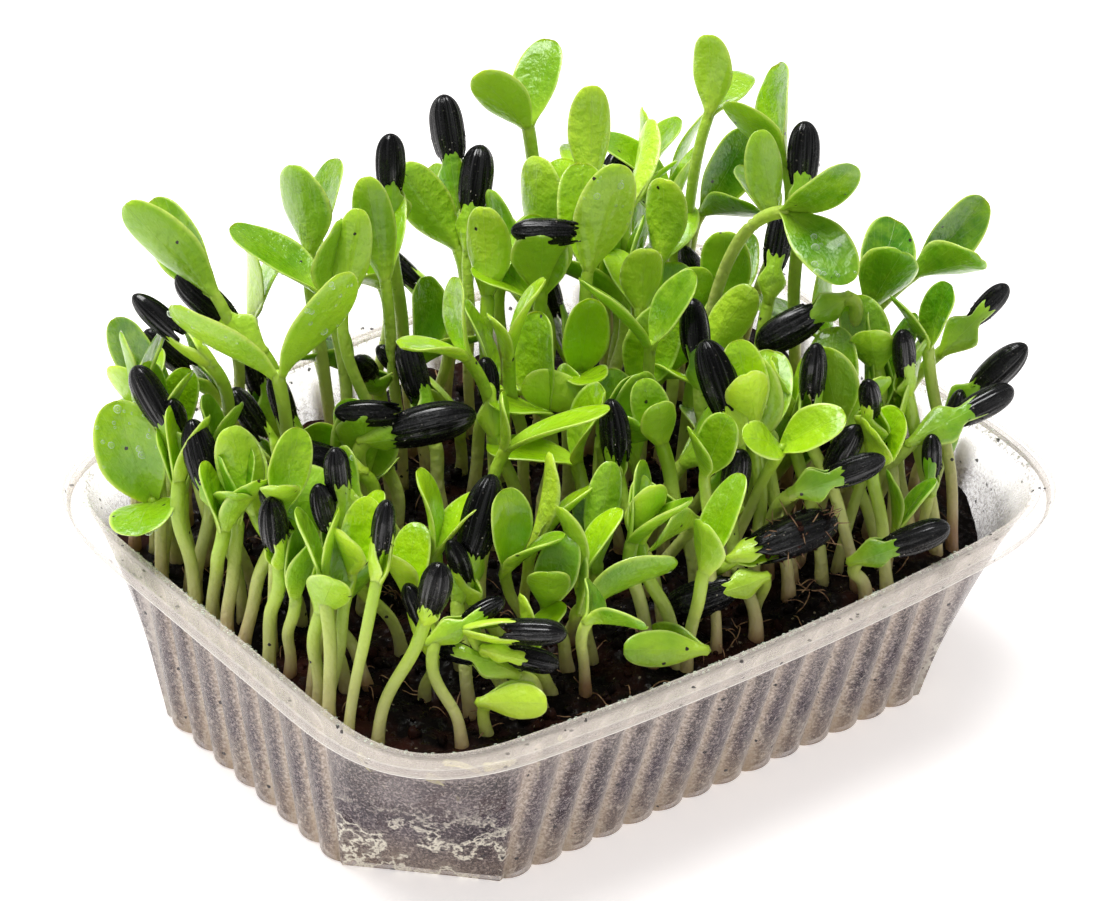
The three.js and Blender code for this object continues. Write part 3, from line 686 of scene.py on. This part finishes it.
def leaf(row, which, axis, shade, draw, rows=26, columns=24):
    """A seed leaf. Its middle line leaves the crown along the head, then bends to its own heading, or back
    into the hull where one is worn. Its section is an ellipse 1.4 mm thick, cupped by the square of the
    place across it. Its width grows from the stem's own, eased over the first half, to full at 0.6 of
    its length, and closes as a power curve. In a hull it keeps inside the hull's size. A crease runs
    along the inside, and the margin ripples as a sine."""
    crown = np.array(row[2:5], float)
    turn, climb, length = row[5 + 3 * which:8 + 3 * which]
    way, other = heading(turn, climb), heading(*row[8 - 3 * which:10 - 3 * which])
    across = unit(np.cross(way, other))
    inner = np.cross(across, way)
    foot = crown - axis * 3.4
    roll = math.radians(ROLL.get(row[:2], (0, 0))[which]) + draw.uniform(-0.35, 0.35)
    worn = row[12] > 0 and row[2:4] not in CROSSWISE
    if worn:
        end_at, outward = hull_end(row), unit(way - axis * (way @ axis))
        tip = crown + axis * (end_at - 0.16 * row[12]) + outward * 0.55
        mouth = crown + axis * max(end_at - row[12], 3.0) + outward * min(1.7, 0.12 * row[12])
        line = bow(foot, crown + axis * 0.5 + outward * 1.5, mouth + outward * 1.2, tip, rows)
    else:
        tip = crown + way * length
        line = bow(foot, crown + axis * (0.16 * length - 1.2) - inner * 0.8,
                   tip - unit(way - inner * row[13]) * length * 0.42, tip, rows)
    s = np.linspace(0, 1, rows)
    t = 1 - (1 - s) ** 1.5
    line = np.stack([np.interp(t, s, line[:, k]) for k in range(3)], -1)
    run = np.gradient(line, axis=0)
    run /= np.linalg.norm(run, axis=1, keepdims=True)
    twist = roll * np.clip(t[:, None] * 3, 0, 1) * (not worn)
    normal = np.cross(across, run)
    side = across * np.cos(twist) + normal * np.sin(twist)
    normal = np.cross(side, run)
    width = row[11] * draw.uniform(0.94, 1.06)
    widest = 0.6
    swell = np.clip((t - 0.1) / (widest - 0.1), 0, 1)
    opening = 2.1 / width + (1 - 2.1 / width) * (swell * swell * (3 - 2 * swell)) ** 0.85
    closing = (1 - np.clip((t - widest) / (1 - widest), 0, 1) ** 2.3) ** (1 / 2.2)
    half = np.where(t < widest, opening, closing) * width / 2
    thick = 0.5 * (1.4 - 0.25 * t) * (1 - np.clip((t - 0.85) / 0.15, 0, 1) ** 3)
    cup = draw.uniform(0.04, 0.22) * width * np.sin(np.pi * np.clip(t, 0.05, 0.9))[:, None]
    if worn:
        gone = (line - crown) @ axis
        held = np.clip((gone - (end_at - row[12]) + 4) / 4.5, 0, 1)
        held = held * held * (3 - 2 * held)
        room = 0.2 * row[12] * hull_size(np.clip((end_at - gone) / row[12], 0, 1)) - 0.3
        half = half * (1 - held) + np.clip(np.minimum(half, room), 0, None) * held
        cup = cup * (1 - 0.8 * held[:, None])
    round_it = np.arange(columns) * 2 * np.pi / columns
    place_across = np.sin(round_it)[None]
    inward = np.cos(round_it)[None]
    rise = inward * thick[:, None] + cup * place_across ** 2
    grown = np.sin(np.pi * t)[:, None]
    rise = rise - np.where(inward > 0, 0.22, 0.12) * band(place_across, 0, 0.2) * grown
    ruffle = 0.35 * np.sin(draw.uniform(4, 8) * t[:, None] + draw.uniform(0, 6)) * grown
    rise = rise + ruffle * place_across ** 3 * (not worn)
    spread = half[:, None] * place_across
    points = line[:, None] - side[:, None] * spread[..., None] + normal[:, None] * rise[..., None]
    return wrap(points, along=1 + t[:, None], inward=inward, edge=np.abs(place_across), across=spread,
                shade=shade)


def sprout(row, number):
    """The stem's and both leaves' skins for one row, with its own seeded small differences."""
    draw = np.random.default_rng(1000 + number)
    axis, shade = head_axis(row), draw.random()
    return [stem(row, axis, shade, draw), leaf(row, 0, axis, shade, draw), leaf(row, 1, axis, shade, draw)]


def sprout_skin():
    """Living skin. The stem goes from a brownish foot through white to green along its length. A leaf is
    fresh green inside and pale yellow-green and duller outside, lighter at its foot and along its veins,
    with a painted highlight along its margin, soft mottling, a few specks of soil, and a waxy gloss."""
    material, tree, shader, place_in = start_material(
        "sprout_skin", IOR=1.42, Subsurface_Weight=0.3, Subsurface_Scale=0.002, Coat_Weight=0.4,
        Coat_Roughness=0.05)
    shader.inputs["Subsurface Radius"].default_value = (1.0, 1.0, 0.15)
    along, inward, edge, across, shade = (
        layer(tree, name) for name in ("along", "inward", "edge", "across", "shade"))
    off_middle = sums(tree, "ABSOLUTE", across)
    mottle = noise(tree, place_in, 180.0, 4.0, 0.6)
    broad = noise(tree, place_in, 45.0, 2.0)

    slide = plus(tree, sums(tree, "SUBTRACT", along, 0.15), (shade, 0.3))
    stem_colour = ramp(tree, slide, (0.0, (0.38, 0.23, 0.12)), (0.08, (0.54, 0.44, 0.22)),
                       (0.3, (0.58, 0.6, 0.21)), (0.65, (0.5, 0.64, 0.1)), (1.0, (0.4, 0.64, 0.025)))

    sweep = plus(tree, times(tree, off_middle, 1.1), (along, -7.0))
    veins = ramp(tree, sums(tree, "PINGPONG", sweep, 1.0), (0.0, 1.0), (0.12, 0.0))
    middle = ramp(tree, off_middle, (0.0, 1.0), (0.03, 0.5), (0.09, 0.0))
    lines = sums(tree, "MAXIMUM", times(tree, veins, 0.12), times(tree, middle, 0.3))
    inside_colour = mixed(tree, shade, (0.06, 0.22, 0.001), (0.42, 0.7, 0.003))
    outside_colour = mixed(tree, shade, (0.16, 0.4, 0.005), (0.62, 0.9, 0.05))
    facing = ramp(tree, plus(tree, 0.5, (inward, 0.5)), (0.42, 0.0), (0.58, 1.0))
    near_foot = ramp(tree, sums(tree, "SUBTRACT", along, 1.0), (0.08, 0.55), (0.5, 0.0))
    leaf_colour = layered(
        tree, mixed(tree, facing, outside_colour, inside_colour),
        (ramp(tree, mottle, (0.4, 0.0), (0.75, 0.4)), (0.58, 0.84, 0.04)),
        (ramp(tree, broad, (0.45, 0.0), (0.7, 0.45)), (0.06, 0.27, 0.004)),
        # the margin lighter: a painted highlight along the leaf's rounded edge
        (ramp(tree, edge, (0.86, 0.0), (0.98, 0.75)), (0.66, 0.88, 0.2)),
        (near_foot, (0.6, 0.82, 0.07)),
        (lines, (0.5, 0.7, 0.12)))

    on_leaf = ramp(tree, sums(tree, "SUBTRACT", along, 0.5), (0.52, 0.0), (0.7, 1.0))
    dirt = specks(tree, place_in, 680.0, 0.012)
    colour = mixed(tree, dirt, mixed(tree, on_leaf, stem_colour, leaf_colour), (0.02, 0.015, 0.012))
    glossy = ramp(tree, facing, (0.0, 0.32), (1.0, 0.2))
    rough = mixed(tree, on_leaf, (0.5, 0.5, 0.5), glossy)
    hairs = noise(tree, place_in, 1500.0, 3.0, 0.7)
    blisters = noise(tree, place_in, 480.0, 2.0)
    relief = plus(tree, times(tree, blisters, 2.5), (hairs, 0.6), (lines, -1.0))
    feed(tree, shader, relief, 0.8, 0.0003, Base_Color=colour, Roughness=rough)
    return material


def rooted(head, draw, plants):
    """A head's full row: its root lies nearer the middle of the tray, at the one of 16 drawn places that
    is furthest from the roots already set."""
    drawn = np.array(head[:2]) * 0.9 + draw.uniform(-6, 6, (16, 2))
    drawn /= np.maximum((np.abs(drawn) / (78, 59)) ** 4 @ np.ones(2), 1)[:, None] ** 0.25
    taken = np.array([row[:2] for row in plants])
    space = np.linalg.norm(drawn[:, None] - taken[None], axis=-1).min(1)
    return (*drawn[space.argmax()], *head, draw.uniform(0.0, 0.35))


def near_wall(draw):
    """Plants rooted along the two walls that meet at the near corner: 22 along the short wall, 4 mm apart,
    then 18 along the long one, 4.6 mm apart, leaning in. Their small heads are held up among the rest, so
    that what shows of them is mostly stem. A root past the soil's edge is drawn back to it."""
    rows = []
    for k in range(40):
        if k < 22:
            root = np.array([draw.uniform(-80, -68), -38 + 4 * k])
            crown = root + (draw.uniform(-2, 9), draw.uniform(-5, 7))
        else:
            root = np.array([-14 + 4.6 * (k - 22), draw.uniform(-56, -38)])
            crown = root + (draw.uniform(-4, 7), draw.uniform(5, 16))
        root = root / max(((np.abs(root) / np.array([79.5, 60])) ** 5).sum(), 1) ** 0.2
        turn, length = draw.uniform(0, 360), draw.uniform(13, 17)
        cap = draw.uniform(10, 13) if draw.random() < 0.22 else 0
        spread = draw.uniform(10, 45)
        crown_height = draw.uniform(56, 72)
        second = (turn + draw.uniform(100, 180), 88 - spread * draw.uniform(0.4, 1.0), length * 0.95)
        width = draw.uniform(7.5, 11)
        rows.append((*root, *crown, crown_height, turn, 88 - spread, length, *second, width, cap, 0.1))
    return rows


def more_plants(plants, draw):
    """Fills the stand away from the near corner: each new head is set at the one of 60 drawn places with
    the most room, near the height of the stand there, which rises to the back, and leans outwards. About
    a third wear a hull, and those stand lower, with narrow leaves close together."""
    while len(plants) < STAND:
        drawn = draw.uniform((-62, -48), (65, 55), (60, 2))
        drawn = drawn[drawn @ (0.62, 0.79) > -14]
        taken = np.array([row[2:4] for row in plants])
        x, y = drawn[np.linalg.norm(drawn[:, None] - taken[None], axis=-1).min(1).argmax()]
        top = 62 + 0.21 * y + 0.04 * x
        outward = math.degrees(math.atan2(y, x)) + draw.uniform(-60, 60)
        lean, open_by = draw.uniform(40, 85), draw.uniform(18, 50)
        first = (outward + draw.uniform(-30, 30), min(lean + open_by * 0.3, 88), draw.uniform(15, 21))
        away = draw.choice([-1, 1]) * draw.uniform(60, 150)
        second = (outward + away, lean - open_by, first[2] * draw.uniform(0.9, 1.0))
        cap = draw.uniform(10, 13.5) if draw.random() < 0.36 else 0
        if cap:
            second = (first[0] + draw.uniform(25, 60), first[1] - draw.uniform(20, 45), second[2])
        width = draw.uniform(9, 14) if not cap else draw.uniform(8, 10)
        height = top * draw.uniform(0.82, 1.04) * (0.88 if cap else 1)
        plants.append(rooted((x, y, height, *first, *second, width, cap), draw, plants))
    return plants


SKIN = sprout_skin()
for number, row in enumerate(PLANTS[:OWN]):
    name = f"sprout_{number + 1:02d}"
    place(name + "_grown", gather(sprout(row, number)), SKIN, "sprout", name)

filling = np.random.default_rng(77)
for head in MORE:
    PLANTS.append(rooted(head, filling, PLANTS))
PLANTS.extend(near_wall(filling))
more_plants(PLANTS, filling)
BATCH = 10
for start in range(OWN, len(PLANTS), BATCH):
    stand = [gather(sprout(row, start + k)) for k, row in enumerate(PLANTS[start:start + BATCH])]
    place(f"stand_{start // BATCH}", gather(stand), SKIN, "sprout")

# ---- Seed hulls ------------------------------------------------------------------------------
# The black shells the seeds grew from, still stuck on some leaf tips: dry, ribbed lengthwise, blunt
# at the far end, with a ragged, bristly mouth where the leaves push out. One is caked with peat.

HULL_ROWS = 20
HULL_COLUMNS = 48


def hull(row, number, rows=HULL_ROWS, columns=HULL_COLUMNS):
    """A shell over the leaf tips, or across them. The outer skin runs from its blunt end to its ragged
    mouth, an ellipse in section that follows the hull's size, with ribs as sines round it. The inner skin
    runs back 0.4 mm inside it. Ripple and chance cut the mouth's edge in and out, and it splits a little
    at its two seams."""
    draw = np.random.default_rng(2000 + number)
    crown, axis = np.array(row[2:5], float), head_axis(row)
    across = unit(np.cross(heading(*row[5:7]), heading(*row[8:10])))
    length = row[12]
    end = crown + axis * hull_end(row)
    if row[2:4] in CROSSWISE:
        end = crown + axis * (row[7] - 1) + across * length / 2
        axis, across = across, axis
    flat = np.cross(across, axis)
    turn = np.arange(columns) * 2 * np.pi / columns
    steps = np.linspace(0, 1, rows) ** 1.5
    ragged = 1 + 0.07 * ripple(np.abs(turn - np.pi) * 3.0, 0 * turn, 0.7, 40 + number)
    ragged = ragged + 0.035 * draw.uniform(-1, 1, columns)
    split = 1 - draw.uniform(0.05, 0.3) * np.abs(np.sin(turn)) ** 16
    down = np.concatenate([steps, steps[::-1]])[:, None] * ragged * split
    within = np.concatenate([np.zeros(rows), np.ones(rows)])[:, None]
    ribs = 1 + 0.07 * np.abs(np.sin(turn * 5 + number)) - 0.04 * np.abs(np.sin(turn * 8 + 1)) ** 3
    size = hull_size(down, draw.uniform(2.1, 3.2)) * ribs
    wide = np.maximum(length * draw.uniform(0.22, 0.27) * size - 0.4 * within, 0)
    deep = np.maximum(length * 0.2 * size - 0.4 * within, 0)
    sunk = down * length + 0.45 * within * (1 - down)
    bend, arch = draw.uniform(-0.05, 0.05, 2) * length, down * (1 - down)
    points = (end - axis * sunk[..., None] + across * (wide * np.sin(turn) + bend[0] * arch)[..., None]
              + flat * (deep * np.cos(turn) + bend[1] * arch)[..., None])
    return wrap(points, along=down, around=turn / (2 * np.pi) + 0 * down)


def frays(row, number, count=26):
    """Bristles round a hull's mouth: each starts on the outer skin, near its edge, and runs back past it,
    thrown a little outwards and sideways by chance."""
    draw = np.random.default_rng(3000 + number)
    skin = hull(row, number)["points"][1:-1].reshape(-1, HULL_COLUMNS, 3)
    ring = draw.integers(0, HULL_COLUMNS, count)
    near = draw.integers(HULL_ROWS - 6, HULL_ROWS - 1, count)
    made = []
    for start, above in zip(skin[near, ring], skin[near - 3, ring]):
        way = unit(unit(start - above) + draw.uniform(-0.6, 0.6, 3))
        line = start - way * 0.2 + way * draw.uniform(0.6, 1.5) * np.linspace(0, 1, 4)[:, None]
        made.append(strand(line, 0.08, 3, along=1.0, around=0.0))
    return gather(made)


def hull_shell():
    """Dry black husk with ridges along it, a satin gleam and a dusty ragged edge. Fine pale lines run
    along it, partly its own markings and partly painted highlights. They are noise read on a drum round
    the hull, long and narrow, moved on by the hull's own place."""
    material, tree, shader, place_in = start_material(
        "hull_shell", Specular_IOR_Level=0.12, Coat_Roughness=0.14)
    along, turned = layer(tree, "along"), times(tree, layer(tree, "around"), 2 * math.pi)
    drum = node(tree, "ShaderNodeCombineXYZ", {
        "X": times(tree, sums(tree, "COSINE", turned), 7.0),
        "Y": times(tree, sums(tree, "SINE", turned), 7.0),
        "Z": times(tree, along, 1.1)}).outputs[0]
    moved = {0: place_in, 1: (40.0, 40.0, 40.0), 2: drum}
    own = node(tree, "ShaderNodeVectorMath", moved, operation="MULTIPLY_ADD").outputs[0]
    streaks_and_highlights = noise(tree, own, 0.9, 3.0, 0.6)
    fine = noise(tree, place_in, 1200.0, 3.0, 0.7)
    # Pale lines along the husk: partly its own markings, partly painted highlights.
    colour = ramp(tree, streaks_and_highlights, (0.35, (0.0008, 0.0008, 0.001)), (0.6, (0.0025, 0.0025, 0.0035)),
                  (0.7, (0.02, 0.02, 0.024)), (0.8, (0.12, 0.11, 0.11)))
    gleam = ramp(tree, streaks_and_highlights, (0.47, 0.05), (0.6, 1.0))
    dust = specks(tree, place_in, 1500.0, 0.12)
    frayed = times(tree, dust, ramp(tree, along, (0.6, 0.1), (0.95, 1.0)))
    colour = mixed(tree, frayed, colour, (0.5, 0.45, 0.4))
    rough = ramp(tree, fine, (0.35, 0.2), (0.65, 0.35))
    relief = plus(tree, times(tree, streaks_and_highlights, 3.0), (fine, 0.12))
    feed(tree, shader, relief, 0.9, 0.0005, Base_Color=colour, Roughness=rough, Coat_Weight=gleam)
    return material


HUSK = hull_shell()
for number, row in enumerate(PLANTS[:OWN]):
    if row[12]:
        name = f"hull_{number + 1:02d}"
        place(name + "_husk", hull(row, number), HUSK, "hull", name)
HULL_BATCH = 8
capped = [(number, row) for number, row in enumerate(PLANTS) if row[12]]
others = [hull(row, number) for number, row in capped if number >= OWN]
for start in range(0, len(others), HULL_BATCH):
    place(f"husks_{start // HULL_BATCH}", gather(others[start:start + HULL_BATCH]), HUSK, "hull")
place("husk_frays", gather([frays(row, number) for number, row in capped]), HUSK, "hull")

# Peat lumps and fibres stuck over the shell of one hull.
CAKED = 28
LUMPS = 150
dirty = PLANTS[CAKED]
lengthwise = head_axis(dirty)
middle = np.array(dirty[2:5]) + lengthwise * (hull_end(dirty) - dirty[12] / 2)
widthwise = unit(np.cross(lengthwise, (0, 0, 1)))
upward = np.cross(widthwise, lengthwise)
down, turn = chance.uniform(0.1, 0.85, LUMPS) * np.pi, chance.uniform(0, 2 * np.pi, LUMPS)
reach = lengthwise * np.cos(down)[:, None] * 8.6 + np.sin(down)[:, None] * 3.9 * (
    widthwise * np.cos(turn)[:, None] + upward * np.sin(turn)[:, None])
place("clod", blobs(middle + reach, 0.3 + 0.7 * chance.random(LUMPS) ** 2, 9), EARTH, "soil")
bits = []
for out in reach[:70]:
    bend, length = chance.uniform(-1.2, 1.2, 3), chance.uniform(1.5, 4.0)
    t = np.linspace(0, 1, 6)[:, None]
    line = middle + out * 0.9 + unit(unit(out) + bend * 0.8) * t * length + bend * t * t * 1.2
    bits.append(strand(line, 0.12, 4))
place("clod_fibres", gather(bits), FIBRE, "soil")

# ---- Water drops -----------------------------------------------------------------------------
# The stand has just been sprayed: clear round drops sit on some leaves, and fine ones all along the
# rim's bead. They take the colour of what is under them, and show by their glint and by a pale edge,
# more opaque where it is seen edge on, which is a painted reflection.


def beads(places, normals, sizes, rows=5, columns=8):
    """Drops: balls of few faces, each flattened to six tenths along the surface's normal there."""
    v, u = np.meshgrid(np.linspace(0, np.pi, rows), np.arange(columns) * 2 * np.pi / columns, indexing="ij")
    made = []
    for where, normal, size in zip(places, normals, sizes):
        first = unit(np.cross(normal, (0.37, 0.21, 0.9)))
        second = np.cross(normal, first)
        flat = (np.sin(v) * np.cos(u))[..., None] * first + (np.sin(v) * np.sin(u))[..., None] * second
        made.append(wrap(where + size * (flat - 0.6 * np.cos(v)[..., None] * normal)))
    return gather(made)


def leaf_drops(number, which, inner_side, count, draw, columns=24):
    """Drops on one leaf: random points of its skin, on one side, away from its foot and margin. The normal
    is the line through the leaf from the point straight behind."""
    points = sprout(PLANTS[number], number)[1 + which]["points"][1:-1].reshape(-1, columns, 3)
    i = draw.integers(9, len(points) - 3, count)
    j = (draw.integers(-4, 5, count) + (0 if inner_side else columns // 2)) % columns
    normal = points[i, j] - points[i, (columns // 2 - j) % columns]
    return points[i, j], normal / np.linalg.norm(normal, axis=1, keepdims=True)


spray = np.random.default_rng(5)
# Wet leaves: the plant's place in the list, its first or second leaf, the outside or the inside of it
# (each 0 or 1), and how many drops.
wet = [(0, 1, 1, 8), (14, 0, 0, 12), (14, 1, 0, 16), (18, 0, 0, 26), (18, 1, 0, 12), (18, 0, 1, 16),
       (19, 0, 0, 14), (19, 1, 1, 8), (3, 1, 1, 10), (25, 1, 1, 8), (26, 0, 1, 8), (31, 0, 0, 10),
       (38, 1, 1, 8), (35, 0, 0, 8)]
found = [leaf_drops(number, which, side, count, spray) for number, which, side, count in wet]
spots, ways = np.concatenate([f[0] for f in found]), np.concatenate([f[1] for f in found])
drops = beads(spots, ways, 0.3 + 0.7 * spray.random(len(spots)) ** 2)
RIM_DROPS = 620
pick = spray.integers(0, len(wall_stations[0]), RIM_DROPS)
rim_inset = spray.uniform(-1.1, 0.5, (RIM_DROPS, 1))
on_rim = on_wall(wall_stations, np.full((1, 1), TALL), 0.0, 0.0)[0]
inward = on_wall(wall_stations, np.full((1, 1), TALL), 1.0, 0.0)[0] - on_rim
upright = np.array([0, 0, 1.0])
rim_spots = on_rim[pick] + inward[pick] * rim_inset - upright * np.clip(rim_inset + 0.1, 0, 1) * 0.5
rim_ways = upright + inward[pick] * np.clip(rim_inset, 0, 1)
rim_ways /= np.linalg.norm(rim_ways, axis=1, keepdims=True)
rim_drops = beads(rim_spots, rim_ways, 0.16 + 0.22 * spray.random(RIM_DROPS), 4, 6)
water, water_tree, water_shader, _ = start_material("water", Roughness=0.03, IOR=1.33, Specular_IOR_Level=1.0)
# Pale and more opaque where seen edge on: a painted reflection round each drop's rim.
water_shader.inputs["Base Color"].default_value = (0.9, 1.0, 0.85, 1.0)
water_facing = node(water_tree, "ShaderNodeLayerWeight").outputs["Facing"]
feed(water_tree, water_shader, Alpha=ramp(water_tree, water_facing, (0.25, 0.1), (0.9, 0.85)))
place("leaf_drops", drops, water, "sprout")
place("rim_drops", rim_drops, water, "sprout")

# ---- Table, light and camera -----------------------------------------------------------------
# A white table under broad soft light from above, and a long lens looking down on the near corner.

table_white, _, paint, _ = start_material("table_white", Roughness=0.6, Emission_Strength=0.55)
paint.inputs["Base Color"].default_value = (0.86, 0.85, 0.84, 1.0)
paint.inputs["Emission Color"].default_value = (1.0, 0.955, 0.945, 1.0)
REACH = 6.0
table_mesh = bpy.data.meshes.new("table")
table_mesh.from_pydata([(x * REACH, y * REACH, 0) for x, y in ((-1, -1), (1, -1), (1, 1), (-1, 1))], [],
                       [(0, 1, 2, 3)])
table_mesh.materials.append(table_white)
table = bpy.data.objects.new("table", table_mesh)
bpy.context.collection.objects.link(table)

world = bpy.data.worlds.new("studio")
world.use_nodes = True
world.node_tree.nodes["Background"].inputs["Color"].default_value = (1.0, 1.0, 1.0, 1.0)
world.node_tree.nodes["Background"].inputs["Strength"].default_value = 0.38
bpy.context.scene.world = world
bpy.context.scene.view_settings.view_transform = "Standard"

sky = bpy.data.lights.new("overhead", "SUN")
sky.energy = 3.7
sky.angle = math.radians(36)
overhead = bpy.data.objects.new("overhead", sky)
overhead.matrix_world = Vector((-0.08, 0.3, 0.95)).to_track_quat("Z", "Y").to_matrix().to_4x4()
bpy.context.collection.objects.link(overhead)

turn, climb, roll = math.radians(-38.15), math.radians(33.82), 0.03
back = Vector((math.sin(turn) * math.cos(climb), -math.cos(turn) * math.cos(climb), math.sin(climb)))
right = Vector((math.cos(turn), math.sin(turn), 0))
up = back.cross(right)
right, up = right * math.cos(roll) + up * math.sin(roll), up * math.cos(roll) - right * math.sin(roll)
lens = bpy.data.cameras.new("camera")
lens.sensor_width = 36
lens.lens = 196.3636
camera = bpy.data.objects.new("camera", lens)
stand_point = Vector((0.0468, 0.06353, 0)) + back * 1.31409
camera.matrix_world = Matrix.Translation(stand_point) @ Matrix((right, up, back)).transposed().to_4x4()
bpy.context.collection.objects.link(camera)
bpy.context.scene.camera = camera
